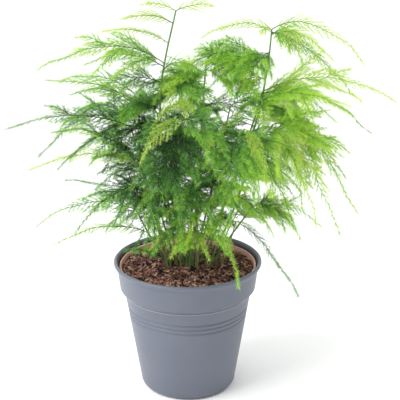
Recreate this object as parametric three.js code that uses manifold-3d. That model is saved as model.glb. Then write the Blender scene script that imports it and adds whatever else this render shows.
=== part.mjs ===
// Potted asparagus fern: a grey plastic pot, the thin nursery pot that stands in it, the potting soil,
// and sixteen wiry stems that carry arching, feathery fronds.
// Millimetres, +Z up, front towards -Y. The origin is the centre of the pot's flat underside.
import * as THREE from "three";
import { mergeVertices } from "three/addons/utils/BufferGeometryUtils.js";
import Module from "manifold-3d";

// Driving dimensions of the outer pot
const POT_HEIGHT = 118;
const LIP_RADIUS = 65;
const COLLAR_TOP_RADIUS = 62.2;
const COLLAR_FOOT_RADIUS = 60;
const COLLAR_FOOT_Z = 94;
const BODY_TOP_RADIUS = 56;
const BODY_TOP_Z = 89.5;
const BODY_FOOT_RADIUS = 42.6;
const FOOT_RADIUS = 38;
const FOOT_CORNER = 5;
const WALL = 1.3;
const FLOOR = 2.6;
const GROOVE_HEIGHTS = [69, 73.2, 77.4];
const GROOVE_DEPTH = 0.6;
const GROOVE_HALF_WIDTH = 0.9;
const DRAINS = 6;
const FIRST_DRAIN_ANGLE = -72;
const DRAIN_RADIUS = 3.5;
const DRAIN_CIRCLE = 24;
const CHANNEL_WIDTH = 6;
const CHANNEL_DEPTH = 1.1;
const CHANNEL_START = 16;

// Nursery pot and soil
const NURSERY_TOP = 113.5;
const NURSERY_RIM_RADIUS = 60.2;
const NURSERY_WALL = 1;
const GAP = 0.3;
const SOIL_EDGE_Z = 109.6;
const SOIL_MOUND = 1.2;
const SOIL_LUMP = 0.6;
const SOIL_GAP = 0.5;

// Stems and fronds
const ROOT_Z = 99;
const STEM_STRAIGHT_Z = 113;
const STEM_FOOT_RADIUS = 1.1;
const STEM_TIP_RADIUS = 0.8;
const STEM_HOLE_SLACK = 1.2;
const MIDRIB_RADIUS = 0.8;
const MIDRIB_TIP_RADIUS = 0.35;
const MIDRIB_STEPS = 6;
const BRANCH_SHARE = 0.55;
const FEWEST_PAIRS = 3;
const BRANCH_PER_PAIR = 13;
const BRANCH_ANGLE = 58;
const BRANCH_DROOP = 0.18;
const CLEARANCE = 2.2;
const LEAST_BRANCH = 3;
const ROUND_SIDES = 32;

// Each stem: its place on the soil (x, y) and the points that it climbs through.
const STEMS = [
  { name: "tall", foot: [-10, 4], path: [[-20, 0, 200], [-22, 2, 264], [-18, 6, 292], [-9, 12, 331]] },
  { name: "left_upper", foot: [-13, 9], path: [[-32, 8, 190], [-44, 12, 262]] },
  { name: "left_mid", foot: [-16, 2], path: [[-32, -8, 175], [-46, -14, 240]] },
  { name: "left_front", foot: [-15, -4], path: [[-26, -20, 165], [-36, -32, 212]] },
  { name: "left_low", foot: [-19, -1], path: [[-34, -8, 145], [-48, -12, 176]] },
  { name: "right_upper", foot: [12, 8], path: [[40, 8, 185], [60, 9, 245], [68, 12, 292], [70, 13, 316]] },
  { name: "right_mid", foot: [16, 4], path: [[36, 0, 180], [56, -6, 245], [62, -8, 268]] },
  { name: "right_front", foot: [20, -3], path: [[38, -16, 165], [58, -24, 226], [70, -26, 245]] },
  { name: "right_low", foot: [23, 1], path: [[38, -2, 140], [56, -6, 168]] },
  { name: "front_left", foot: [-6, -5], path: [[-8, -22, 170], [-2, -36, 238], [-4, -46, 256]] },
  { name: "front_right", foot: [8, -6], path: [[20, -24, 170], [36, -38, 228], [46, -46, 246]] },
  { name: "centre", foot: [3, 3], path: [[10, 8, 190], [14, 14, 262], [16, 18, 286]] },
  { name: "back_left", foot: [-5, 15], path: [[-18, 38, 180], [-28, 58, 236]] },
  { name: "back_right", foot: [8, 15], path: [[24, 40, 180], [38, 60, 240]] },
  { name: "back", foot: [1, 20], path: [[4, 44, 165], [6, 66, 206]] },
  { name: "front_low", foot: [2, -9], path: [[6, -26, 150], [14, -38, 182]] },
];

// Each frond: the stem that carries it and how far up (0 foot, 1 top), its tip, how far its midrib
// arches above the straight line, its longest side branch, and its leaf colour.
const FRONDS = [
  { name: "crown_left", stem: "tall", at: 0.95, tip: [-52, -18, 328], arch: 10, branch: 14, leaf: "young" },
  { name: "crown_right", stem: "tall", at: 1, tip: [24, 20, 334], arch: 6, branch: 15, leaf: "young" },
  { name: "crown_side", stem: "tall", at: 0.87, tip: [-64, -30, 321], arch: 12, branch: 7, leaf: "young" },
  { name: "left_arch", stem: "tall", at: 0.78, tip: [-116, -28, 288], arch: 34, branch: 26, leaf: "fresh" },
  { name: "left_comb", stem: "left_upper", at: 1, tip: [-108, 30, 268], arch: 20, branch: 17, leaf: "green" },
  { name: "left_back", stem: "left_upper", at: 0.86, tip: [-112, 74, 226], arch: 34, branch: 22, leaf: "deep" },
  { name: "left_long", stem: "left_mid", at: 1, tip: [-146, -36, 242], arch: 22, branch: 22, leaf: "deep" },
  { name: "left_reach", stem: "left_mid", at: 0.84, tip: [-104, -64, 246], arch: 26, branch: 22, leaf: "green" },
  { name: "left_fresh", stem: "left_front", at: 1, tip: [-126, -56, 214], arch: 24, branch: 16, leaf: "lime" },
  { name: "left_turn", stem: "left_front", at: 0.8, tip: [-84, -96, 178], arch: 34, branch: 22, leaf: "deep" },
  { name: "left_wisp", stem: "left_low", at: 1, tip: [-106, 16, 184], arch: 12, branch: 6, leaf: "deep" },
  { name: "left_droop", stem: "left_low", at: 0.9, tip: [-126, -26, 160], arch: 24, branch: 19, leaf: "green" },
  { name: "left_skirt", stem: "left_low", at: 0.66, tip: [-108, -58, 152], arch: 22, branch: 14, leaf: "fresh" },
  { name: "left_sprig", stem: "left_low", at: 0.4, tip: [-50, -46, 143], arch: 8, branch: 12, leaf: "deep" },
  { name: "right_arch", stem: "right_upper", at: 1, tip: [144, -16, 292], arch: 34, branch: 15, leaf: "lime" },
  { name: "right_turn", stem: "right_upper", at: 0.98, tip: [14, 18, 308], arch: 20, branch: 10, leaf: "lime" },
  { name: "right_inner", stem: "right_upper", at: 0.78, tip: [-22, 24, 268], arch: 32, branch: 32, leaf: "green" },
  { name: "right_long", stem: "right_mid", at: 1, tip: [168, -22, 264], arch: 30, branch: 24, leaf: "lime" },
  { name: "right_reach", stem: "right_mid", at: 0.9, tip: [126, -66, 262], arch: 24, branch: 22, leaf: "fresh" },
  { name: "right_curl", stem: "right_upper", at: 0.62, tip: [160, 28, 224], arch: 44, branch: 14, leaf: "green" },
  { name: "right_droop", stem: "right_front", at: 1, tip: [140, -32, 170], arch: 46, branch: 34, leaf: "fresh" },
  { name: "right_fall", stem: "right_front", at: 0.86, tip: [124, -58, 158], arch: 52, branch: 32, leaf: "fresh" },
  { name: "right_level", stem: "right_mid", at: 0.68, tip: [136, 18, 214], arch: 16, branch: 16, leaf: "green" },
  { name: "right_skirt", stem: "right_low", at: 1, tip: [96, -34, 146], arch: 24, branch: 24, leaf: "fresh" },
  { name: "right_thread", stem: "right_low", at: 0.8, tip: [92, -42, 100], arch: 18, branch: 10, leaf: "deep" },
  { name: "front_spear", stem: "front_left", at: 1, tip: [-34, -88, 232], arch: 10, branch: 14, leaf: "lime" },
  { name: "front_fan", stem: "front_left", at: 0.78, tip: [-32, -92, 160], arch: 36, branch: 34, leaf: "deep" },
  { name: "front_tassel", stem: "front_right", at: 1, tip: [64, -84, 204], arch: 20, branch: 12, leaf: "lime" },
  { name: "front_plume", stem: "front_right", at: 0.8, tip: [32, -94, 178], arch: 38, branch: 34, leaf: "green" },
  { name: "centre_high", stem: "centre", at: 1, tip: [52, 58, 262], arch: 24, branch: 32, leaf: "green" },
  { name: "centre_turn", stem: "centre", at: 0.8, tip: [-58, 52, 214], arch: 40, branch: 36, leaf: "deep" },
  { name: "back_left_fan", stem: "back_left", at: 1, tip: [-78, 118, 196], arch: 32, branch: 36, leaf: "deep" },
  { name: "back_right_fan", stem: "back_right", at: 1, tip: [104, 112, 206], arch: 36, branch: 36, leaf: "green" },
  { name: "back_right_low", stem: "back_right", at: 0.72, tip: [116, 60, 164], arch: 34, branch: 32, leaf: "deep" },
  { name: "back_fan", stem: "back", at: 1, tip: [10, 136, 160], arch: 34, branch: 36, leaf: "deep" },
  { name: "front_hanger", stem: "front_low", at: 1, tip: [42, -69, 121], arch: 30, branch: 13, leaf: "fresh" },
  { name: "front_drop", stem: "front_low", at: 0.7, tip: [-12, -52, 138], arch: 14, branch: 13, leaf: "lime" },
];

const LEAF_COLOURS = { deep: 0x2f6b35, green: 0x4d8f36, fresh: 0x74ad3c, lime: 0x9ccb3e, young: 0xbfd070 };
const POT_GREY = { color: 0x7d828d, roughness: 0.5, metalness: 0 };
const TERRACOTTA = { color: 0xb87a62, roughness: 0.6, metalness: 0 };
const SOIL_BROWN = { color: 0x4a342b, roughness: 0.95, metalness: 0 };
const STEM_GREEN = { color: 0x5c8047, roughness: 0.6, metalness: 0 };

const wasm = await Module();
wasm.setup();

const up = new THREE.Vector3(0, 0, 1);
const asVector = ([x, y, z]) => new THREE.Vector3(x, y, z);
const radians = THREE.MathUtils.degToRad;

function solidOf(geometry) {
  const bare = geometry.clone();
  bare.deleteAttribute("normal");
  bare.deleteAttribute("uv");
  const merged = mergeVertices(bare, 1e-4);
  const vertProperties = new Float32Array(merged.attributes.position.array);
  const triVerts = new Uint32Array(merged.index.array);
  return new wasm.Manifold(new wasm.Mesh({ numProp: 3, vertProperties, triVerts }));
}

function geometryOf(solid) {
  const { vertProperties, triVerts } = solid.getMesh();
  const geometry = new THREE.BufferGeometry();
  geometry.setAttribute("position", new THREE.BufferAttribute(vertProperties, 3));
  geometry.setIndex(new THREE.BufferAttribute(triVerts, 1));
  return geometry;
}

function piece(name, geometry, finish) {
  geometry.computeVertexNormals();
  const mesh = new THREE.Mesh(geometry, new THREE.MeshStandardMaterial(finish));
  mesh.name = name;
  return mesh;
}

// A turned solid about +Z from (radius, height) points that start and end on the axis.
function turned(profile) {
  const points = profile.map(([radius, height]) => new THREE.Vector2(radius, height));
  return new THREE.LatheGeometry(points, ROUND_SIDES).rotateX(Math.PI / 2);
}

function bodyRadius(z) {
  return THREE.MathUtils.mapLinear(z, FOOT_CORNER, BODY_TOP_Z, BODY_FOOT_RADIUS, BODY_TOP_RADIUS);
}

function grooveProfile(z) {
  const low = z - GROOVE_HALF_WIDTH;
  const high = z + GROOVE_HALF_WIDTH;
  return [[bodyRadius(low), low], [bodyRadius(z) - GROOVE_DEPTH, z], [bodyRadius(high), high]];
}

// Foot corner, tapered body with its grooves, flared shoulder, collar and rolled lip, then the inside.
function outerPotProfile() {
  const cornerMid = [FOOT_RADIUS + 3.3, 1.6];
  const lipTop = POT_HEIGHT;
  const outside = [
    [0, 0], [FOOT_RADIUS, 0], cornerMid, [BODY_FOOT_RADIUS, FOOT_CORNER],
    ...GROOVE_HEIGHTS.flatMap(grooveProfile),
    [BODY_TOP_RADIUS, BODY_TOP_Z], [COLLAR_FOOT_RADIUS - 1.2, COLLAR_FOOT_Z - 2.4],
    [COLLAR_FOOT_RADIUS, COLLAR_FOOT_Z], [COLLAR_TOP_RADIUS, lipTop - 6],
    [LIP_RADIUS - 0.6, lipTop - 4], [LIP_RADIUS, lipTop - 1.8], [LIP_RADIUS - 1, lipTop - 0.2],
  ];
  const inside = [
    [LIP_RADIUS - 2, lipTop], [COLLAR_TOP_RADIUS - WALL, lipTop - 6],
    [COLLAR_FOOT_RADIUS - WALL, COLLAR_FOOT_Z], [BODY_TOP_RADIUS - WALL, BODY_TOP_Z],
    [BODY_FOOT_RADIUS - WALL, FOOT_CORNER + 1], [FOOT_RADIUS, FLOOR], [0, FLOOR],
  ];
  return [...outside, ...inside];
}

function drainCutters() {
  const cutters = [];
  for (let i = 0; i < DRAINS; i++) {
    const turn = radians(FIRST_DRAIN_ANGLE + (i * 360) / DRAINS);
    const length = LIP_RADIUS - CHANNEL_START;
    const channel = new THREE.BoxGeometry(length, CHANNEL_WIDTH, 2 * CHANNEL_DEPTH);
    channel.translate(CHANNEL_START + length / 2, 0, 0).rotateZ(turn);
    const hole = new THREE.CylinderGeometry(DRAIN_RADIUS, DRAIN_RADIUS, 4 * FLOOR, 12).rotateX(Math.PI / 2);
    hole.translate(DRAIN_CIRCLE, 0, 0).rotateZ(turn);
    cutters.push(solidOf(channel), solidOf(hole));
  }
  return cutters;
}

function makeOuterPot() {
  const whole = solidOf(turned(outerPotProfile()));
  const solid = drainCutters().reduce((pot, cutter) => pot.subtract(cutter), whole);
  return piece("outer_pot", geometryOf(solid), POT_GREY);
}

// Inside of the nursery pot, from its floor to its rim, as (radius, height).
function nurseryInside(floorZ) {
  return [[35.5, floorZ], [37.5, floorZ + 3], [50.4, 86.5], [55.8, 95.5], [57.6, 107]];
}

function makeNurseryPot() {
  const footZ = FLOOR + GAP;
  const outside = nurseryInside(footZ).map(([radius, z]) => [radius + NURSERY_WALL, z]);
  const rim = [
    [NURSERY_RIM_RADIUS, 108], [NURSERY_RIM_RADIUS, NURSERY_TOP], [NURSERY_RIM_RADIUS - 2, NURSERY_TOP],
  ];
  const inside = nurseryInside(footZ + NURSERY_WALL).reverse();
  const profile = [[0, footZ], ...outside, ...rim, ...inside, [0, footZ + NURSERY_WALL]];
  let solid = solidOf(turned(profile));
  for (let i = 0; i < DRAINS; i++) {
    const hole = new THREE.CylinderGeometry(DRAIN_RADIUS, DRAIN_RADIUS, 4 * FLOOR, 8).rotateX(Math.PI / 2);
    hole.translate(DRAIN_CIRCLE, 0, footZ).rotateZ(radians(FIRST_DRAIN_ANGLE + ((i + 0.5) * 360) / DRAINS));
    solid = solid.subtract(solidOf(hole));
  }
  return piece("nursery_pot", geometryOf(solid), TERRACOTTA);
}

// Height of the soil at a point: a low mound with uneven lumps that die out at the edge.
function soilHeight(x, y) {
  const radius = Math.hypot(x, y);
  const inward = THREE.MathUtils.smoothstep(56 - radius, 0, 30);
  const lumps = Math.sin(x * 0.21 + 1) * Math.cos(y * 0.17) + 0.6 * Math.sin(x * 0.09 - y * 0.24);
  const calm = THREE.MathUtils.smoothstep(57 - radius, 0, 8);
  return SOIL_EDGE_Z + inward * SOIL_MOUND + SOIL_LUMP * lumps * calm;
}

function makeSoil() {
  const floorZ = FLOOR + 2 * GAP + NURSERY_WALL;
  const side = nurseryInside(floorZ).map(([radius, z]) => [radius - SOIL_GAP, z]);
  const top = [46, 34, 22, 10, 0].map((radius) => [radius, SOIL_EDGE_Z]);
  const geometry = turned([[0, floorZ], ...side, [57.1, SOIL_EDGE_Z], ...top]);
  const position = geometry.attributes.position;
  for (let i = 0; i < position.count; i++) {
    if (position.getZ(i) > SOIL_EDGE_Z - 0.01) {
      position.setZ(i, soilHeight(position.getX(i), position.getY(i)));
    }
  }
  const holes = STEMS.map(({ foot: [x, y] }) => {
    const depth = STEM_STRAIGHT_Z + 10 - ROOT_Z;
    const radius = STEM_FOOT_RADIUS + STEM_HOLE_SLACK;
    const hole = new THREE.CylinderGeometry(radius, radius, depth, 6).rotateX(Math.PI / 2);
    return solidOf(hole.translate(x, y, ROOT_Z - GAP + depth / 2));
  });
  const solid = holes.reduce((soil, hole) => soil.subtract(hole), solidOf(geometry));
  return piece("potting_soil", geometryOf(solid), SOIL_BROWN);
}

function stemCurve({ foot: [x, y], path }) {
  const straight = [[x, y, ROOT_Z], [x, y, STEM_STRAIGHT_Z]];
  return new THREE.CatmullRomCurve3([...straight, ...path].map(asVector), false, "centripetal");
}

// Side direction of a curve: level, and square to the way that it runs.
function sideOf(curve) {
  const run = curve.getPoint(1).sub(curve.getPoint(0)).setZ(0);
  return run.cross(up).normalize();
}

// A closed tapering tube along a curve: a cylinder whose vertices are carried onto the curve.
function taperedTube(curve, startRadius, endRadius, sides, steps) {
  const geometry = new THREE.CylinderGeometry(endRadius, startRadius, 1, sides, steps);
  const level = sideOf(curve);
  const position = geometry.attributes.position;
  for (let i = 0; i < position.count; i++) {
    const t = THREE.MathUtils.clamp(position.getY(i) + 0.5, 0, 1);
    const along = curve.getTangent(t);
    const side = level.clone().addScaledVector(along, -level.dot(along)).normalize();
    const over = side.clone().cross(along);
    const place = curve.getPoint(t);
    place.addScaledVector(side, position.getX(i)).addScaledVector(over, position.getZ(i));
    position.setXYZ(i, place.x, place.y, place.z);
  }
  return geometry;
}

// The midrib leaves its stem just clear of the stem's bark and arches over to the tip.
function midribCurve(frond) {
  const stem = stemCurve(STEMS.find(({ name }) => name === frond.stem));
  const joint = stem.getPoint(frond.at);
  const tip = asVector(frond.tip);
  const crest = joint.clone().lerp(tip, 0.45).addScaledVector(up, frond.arch);
  const away = crest.clone().sub(joint).normalize();
  const slant = frond.at === 1 ? 1 : Math.max(0.4, away.clone().cross(stem.getTangent(frond.at)).length());
  const start = joint.addScaledVector(away, (STEM_FOOT_RADIUS + MIDRIB_RADIUS + GAP) / slant);
  return new THREE.QuadraticBezierCurve3(start, crest, tip);
}

// Side branches are longest a fifth of the way along and shorten towards the tip.
function branchLength(frond, t) {
  const rise = THREE.MathUtils.smoothstep(t, -0.1, 0.22);
  return frond.branch * rise * (1 - 0.85 * THREE.MathUtils.smoothstep(t, 0.1, 1.05));
}

function branchLines(frond, curve) {
  const level = sideOf(curve);
  const lines = [];
  const count = 2 * Math.max(FEWEST_PAIRS, 2 + Math.round(frond.branch / BRANCH_PER_PAIR));
  for (let i = 0; i < count; i++) {
    const t = 0.1 + (0.8 * i) / (count - 1);
    const side = level.clone().multiplyScalar(i % 2 ? 1 : -1);
    const way = curve.getTangent(t).multiplyScalar(Math.cos(radians(BRANCH_ANGLE)));
    way.addScaledVector(side, Math.sin(radians(BRANCH_ANGLE))).addScaledVector(up, -BRANCH_DROOP).normalize();
    const root = curve.getPoint(t);
    lines.push(new THREE.Line3(root, root.clone().addScaledVector(way, branchLength(frond, t))));
  }
  return lines;
}

function linesAlong(curve, steps) {
  const points = curve.getPoints(steps);
  return points.slice(1).map((point, i) => new THREE.Line3(points[i], point));
}

// Shortest distance between two straight lines of finite length, sampled along the first.
function distanceBetween(a, b) {
  const samples = 8;
  const nearest = new THREE.Vector3();
  let least = Infinity;
  for (let i = 0; i <= samples; i++) {
    const point = a.at(i / samples, new THREE.Vector3());
    b.closestPointToPoint(point, true, nearest);
    least = Math.min(least, point.distanceTo(nearest));
  }
  return least;
}

// A branch is cut back until it is clear of every stem, midrib and branch of the other fronds.
function cutBack(line, others) {
  for (let keep = 1; keep * line.distance() > LEAST_BRANCH; keep -= 0.1) {
    const shorter = new THREE.Line3(line.start, line.at(keep, new THREE.Vector3()));
    if (others.every((other) => distanceBetween(shorter, other) > CLEARANCE)) return shorter;
  }
  return null;
}

function branchSolid(line, midribRadius) {
  const length = line.distance();
  const rootRadius = BRANCH_SHARE * midribRadius;
  const cone = new THREE.ConeGeometry(rootRadius, length, 3, 1).translate(0, length / 2, 0);
  const way = line.delta(new THREE.Vector3()).normalize();
  cone.applyQuaternion(new THREE.Quaternion().setFromUnitVectors(new THREE.Vector3(0, 1, 0), way));
  return solidOf(cone.translate(line.start.x, line.start.y, line.start.z));
}

function makeFrond(frond, curve, branches) {
  const midrib = solidOf(taperedTube(curve, MIDRIB_RADIUS, MIDRIB_TIP_RADIUS, 4, MIDRIB_STEPS));
  const root = curve.getPoint(0);
  const span = root.distanceTo(curve.getPoint(1));
  const radiusAt = (line) => {
    const share = Math.min(1, line.start.distanceTo(root) / span);
    return THREE.MathUtils.lerp(MIDRIB_RADIUS, MIDRIB_TIP_RADIUS, share);
  };
  const solid = branches.reduce((whole, line) => whole.add(branchSolid(line, radiusAt(line))), midrib);
  const finish = { color: LEAF_COLOURS[frond.leaf], roughness: 0.6 };
  return piece(frond.name + "_frond", geometryOf(solid), finish);
}

function makeFronds() {
  const stemLines = STEMS.flatMap((stem) => linesAlong(stemCurve(stem), 12));
  const curves = FRONDS.map(midribCurve);
  const midribLines = curves.map((curve) => linesAlong(curve, MIDRIB_STEPS));
  const grown = FRONDS.map(() => []);
  return FRONDS.map((frond, i) => {
    const elsewhere = [...stemLines];
    FRONDS.forEach((_, j) => j !== i && elsewhere.push(...midribLines[j], ...grown[j]));
    grown[i] = branchLines(frond, curves[i]).map((line) => cutBack(line, elsewhere)).filter(Boolean);
    return makeFrond(frond, curves[i], grown[i]);
  });
}

function makeStem(stem) {
  const tube = taperedTube(stemCurve(stem), STEM_FOOT_RADIUS, STEM_TIP_RADIUS, 5, 7);
  return piece(stem.name + "_stem", tube, STEM_GREEN);
}

const pottedFern = new THREE.Group();
pottedFern.add(makeOuterPot(), makeNurseryPot(), makeSoil());
pottedFern.add(...STEMS.map(makeStem), ...makeFronds());

export default pottedFern;
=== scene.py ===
# Potted asparagus fern: a grey plastic pot, the nursery pot inside it, soil and feathery fronds.
import bpy
import bmesh
import math
import random
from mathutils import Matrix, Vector, noise


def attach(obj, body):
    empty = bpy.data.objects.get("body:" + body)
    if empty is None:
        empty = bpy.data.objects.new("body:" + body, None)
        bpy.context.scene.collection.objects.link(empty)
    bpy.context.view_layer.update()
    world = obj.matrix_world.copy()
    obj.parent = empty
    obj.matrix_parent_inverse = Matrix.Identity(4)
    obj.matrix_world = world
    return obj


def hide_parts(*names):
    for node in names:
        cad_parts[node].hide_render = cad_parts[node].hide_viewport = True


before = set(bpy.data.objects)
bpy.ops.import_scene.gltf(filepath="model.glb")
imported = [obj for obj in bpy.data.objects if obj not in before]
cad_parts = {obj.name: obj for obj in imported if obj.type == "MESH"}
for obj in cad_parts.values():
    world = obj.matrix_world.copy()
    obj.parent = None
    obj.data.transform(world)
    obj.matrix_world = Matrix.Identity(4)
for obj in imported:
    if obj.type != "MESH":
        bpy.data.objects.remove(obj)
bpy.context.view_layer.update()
print("frame loaded:", len(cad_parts), "nodes")

mm = 0.001
up = Vector((0, 0, 1))
leafMap = "OFBake"  # across a needle or twig, and its tint


class Wire:
    # A node's output that Python arithmetic can use.
    def __init__(self, graph, socket):
        self.graph = graph
        self.socket = socket

    def maths(self, operation, first, second):
        return self.graph.add("ShaderNodeMath", {"operation": operation}, {0: first, 1: second})

    def __add__(self, other):
        return self.maths("ADD", self, other)

    def __radd__(self, other):
        return self.maths("ADD", other, self)

    def __sub__(self, other):
        return self.maths("SUBTRACT", self, other)

    def __rsub__(self, other):
        return self.maths("SUBTRACT", other, self)

    def __mul__(self, other):
        return self.maths("MULTIPLY", self, other)

    def __rmul__(self, other):
        return self.maths("MULTIPLY", other, self)

    def __pow__(self, other):
        return self.maths("POWER", self, other)


class Graph:
    # Builds the nodes of one tree: add() makes any node and gives back one of its outputs.
    def __init__(self, tree):
        self.tree = tree

    def add(self, kind, settings=None, sockets=None, out=0):
        node = self.tree.nodes.new(kind)
        for name, value in (settings or {}).items():
            if name == "stops":
                self.setStops(node.color_ramp, value)
            else:
                setattr(node, name, value)
        for name, value in (sockets or {}).items():
            if isinstance(value, Wire):
                self.tree.links.new(value.socket, node.inputs[name])
            else:
                node.inputs[name].default_value = value
        return Wire(self, node.outputs[out]) if node.outputs else node

    def setStops(self, ramp, stops):
        while len(ramp.elements) < len(stops):
            ramp.elements.new(1)
        for element, (place, value) in zip(ramp.elements, stops):
            element.position = place
            element.color = value

    def mixColour(self, factor, first, second):
        sockets = {0: factor, 6: first, 7: second}
        return self.add("ShaderNodeMix", {"data_type": "RGBA"}, sockets, out=2)

    def part(self, vector, axis):
        return self.add("ShaderNodeSeparateXYZ", None, {0: vector}, out=axis)

    def cloud(self, place, scale, detail=2, roughness=0.5, flat=False):
        sockets = {"Vector": place, "Scale": scale, "Detail": detail, "Roughness": roughness}
        return self.add("ShaderNodeTexNoise", {"noise_dimensions": "2D" if flat else "3D"}, sockets)

    def ramp(self, factor, *stops):
        return self.add("ShaderNodeValToRGB", {"stops": stops}, {0: factor})

    def ease(self, value, start, end, most=1.0):
        # 0 at start, growing evenly to most at end
        sockets = {"Value": value, "From Min": start, "From Max": end, "To Max": most}
        return self.add("ShaderNodeMapRange", None, sockets)

    def bump(self, height, strength, distance):
        sockets = {"Height": height, "Strength": strength, "Distance": distance}
        return self.add("ShaderNodeBump", None, sockets)

    def above(self, value, limit):
        settings = {"data_type": "FLOAT", "operation": "GREATER_THAN"}
        return self.add("FunctionNodeCompare", settings, {0: value, 1: limit})

    def chance(self, low, high, seed):
        sockets = {2: low, 3: high, 8: seed}
        return self.add("FunctionNodeRandomValue", {"data_type": "FLOAT"}, sockets, out=1)

    def chanceVector(self, low, high, seed):
        sockets = {0: (low, low, low), 1: (high, high, high), 8: seed}
        return self.add("FunctionNodeRandomValue", {"data_type": "FLOAT_VECTOR"}, sockets)


def tint(red, green, blue):
    # A colour as seen on screen (0 to 255) made linear for the shaders.
    def linear(level):
        level /= 255
        return level / 12.92 if level <= 0.04045 else ((level + 0.055) / 1.055) ** 2.4
    return (linear(red), linear(green), linear(blue), 1)


def newMaterial(name, paint):
    material = bpy.data.materials.new(name)
    material.use_nodes = True
    graph = Graph(material.node_tree)
    paint(graph, material.node_tree.nodes["Principled BSDF"])
    return material


def feed(graph, shader, **wires):
    for name, wire in wires.items():
        socket = shader.inputs[name.replace("_", " ")]
        if isinstance(wire, Wire):
            graph.tree.links.new(wire.socket, socket)
        else:
            socket.default_value = wire


def newTree(name, inputs):
    # A Geometry Nodes tree with named inputs after its geometry, and its input node's outputs by name.
    tree = bpy.data.node_groups.new(name, "GeometryNodeTree")
    tree.interface.new_socket("Geometry", in_out="OUTPUT", socket_type="NodeSocketGeometry")
    tree.interface.new_socket("Geometry", in_out="INPUT", socket_type="NodeSocketGeometry")
    for label, kind in inputs:
        tree.interface.new_socket(label, in_out="INPUT", socket_type=kind)
    graph = Graph(tree)
    source = tree.nodes.new("NodeGroupInput")
    given = {output.name: Wire(graph, output) for output in source.outputs if output.name}
    return tree, graph, given


def finishTree(graph, geometry, material):
    real = graph.add("GeometryNodeRealizeInstances", None, {"Geometry": geometry})
    dressed = graph.add("GeometryNodeSetMaterial", None, {"Geometry": real, "Material": material})
    sink = graph.tree.nodes.new("NodeGroupOutput")
    graph.tree.links.new(dressed.socket, sink.inputs[0])


def applyTree(piece, tree, values):
    # Runs a tree on a piece and keeps its result as the piece's plain mesh.
    modifier = piece.modifiers.new(tree.name, "NODES")
    modifier.node_group = tree
    for item in tree.interface.items_tree:
        if item.in_out == "INPUT" and item.name in values:
            modifier[item.identifier] = values[item.name]
    bpy.context.view_layer.update()
    shown = piece.evaluated_get(bpy.context.evaluated_depsgraph_get())
    plain = bpy.data.meshes.new_from_object(shown)
    piece.modifiers.remove(modifier)
    old = piece.data
    piece.data = plain
    bpy.data.meshes.remove(old)
    plain.name = piece.name


def newPiece(name, mesh):
    piece = bpy.data.objects.new(name, mesh)
    bpy.context.scene.collection.objects.link(piece)
    return piece


def keepPiece(piece, slot, *nodes):
    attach(piece, "root")
    if nodes:
        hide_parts(*nodes)


view = {
    "place": (0.0108, -0.7419, 0.420),
    "tilt": 18.5,  # degrees below level
    "lens": 81.7,
}


def makeCamera():
    camera = bpy.data.cameras.new("camera")
    camera.lens = view["lens"]
    camera.sensor_width = 36
    holder = bpy.data.objects.new("camera", camera)
    holder.location = view["place"]
    holder.rotation_euler = (math.radians(90 - view["tilt"]), 0, 0)
    bpy.context.scene.collection.objects.link(holder)
    bpy.context.scene.camera = holder


studio = {
    "floorTint": tint(252, 252, 252),
    "sky": 1.1,
    "overhead": 0.55,  # how much brighter the light from above is
    "frontShade": 0.2,  # how much darker the room in front of the plant is
    "rightShade": 1.0,
    "keyPower": 21,
    "keyPlace": (-1.1, -0.6, 1.3),
}


def makeLight(name, place, power, size):
    lamp = bpy.data.lights.new(name, "AREA")
    lamp.energy = power
    lamp.size = size
    holder = bpy.data.objects.new(name, lamp)
    holder.location = place
    holder.rotation_euler = (Vector((0, 0, 0.15)) - Vector(place)).to_track_quat("-Z", "Y").to_euler()
    bpy.context.scene.collection.objects.link(holder)


def makeSky():
    # White all round, brightest overhead, and darker high up towards the front right.
    world = bpy.data.worlds.new("studio")
    world.use_nodes = True
    graph = Graph(world.node_tree)
    way = graph.add("ShaderNodeTexCoord", out="Generated")
    right = graph.ease(graph.part(way, 0), -0.7, 0.5)
    front = graph.ease(graph.part(way, 1), 0.3, -0.5)
    rise = graph.part(way, 2)
    top = graph.ease(rise, 0.1, 0.9)
    raised = graph.ease(rise, 0.12, 0.32)
    shade = front * raised * (studio["frontShade"] + studio["rightShade"] * right)
    strength = studio["sky"] + studio["overhead"] * top - shade
    background = world.node_tree.nodes["Background"]
    background.inputs["Color"].default_value = (1, 1, 1, 1)
    graph.tree.links.new(strength.socket, background.inputs["Strength"])
    return world


def makeStudio():
    mesh = bpy.data.meshes.new("floor")
    side = 6
    corners = [(-side, -side, 0), (side, -side, 0), (side, side, 0), (-side, side, 0)]
    mesh.from_pydata(corners, [], [(0, 1, 2, 3)])
    floor = newPiece("floor", mesh)

    def paint(graph, shader):
        feed(graph, shader, Base_Color=studio["floorTint"], Roughness=0.9)
    floor.data.materials.append(newMaterial("paleFloor", paint))
    bpy.context.scene.world = makeSky()
    bpy.context.scene.view_settings.view_transform = "Standard"
    makeLight("keyLight", studio["keyPlace"], studio["keyPower"], 1.0)


makeCamera()
makeStudio()
print("camera and studio made")


def turnedMesh(name, profile, sides):
    # Turns (radius, height) points in millimetres about +Z. Points at radius 0 become single poles.
    mesh = bpy.data.meshes.new(name)
    vertices = []
    rings = []
    for radius, height in profile:
        if radius < 1e-6:
            rings.append([len(vertices)])
            vertices.append((0, 0, height * mm))
            continue
        rings.append([len(vertices) + i for i in range(sides)])
        for i in range(sides):
            turn = 2 * math.pi * i / sides
            vertices.append((radius * math.cos(turn) * mm, radius * math.sin(turn) * mm, height * mm))
    faces = []
    for low, high in zip(rings, rings[1:]):
        for i in range(sides):
            j = (i + 1) % sides
            corners = [low[i % len(low)], low[j % len(low)], high[j % len(high)], high[i % len(high)]]
            faces.append(list(dict.fromkeys(corners)))
    mesh.from_pydata(vertices, [], faces)
    mesh.polygons.foreach_set("use_smooth", [True] * len(faces))
    return mesh


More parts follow.
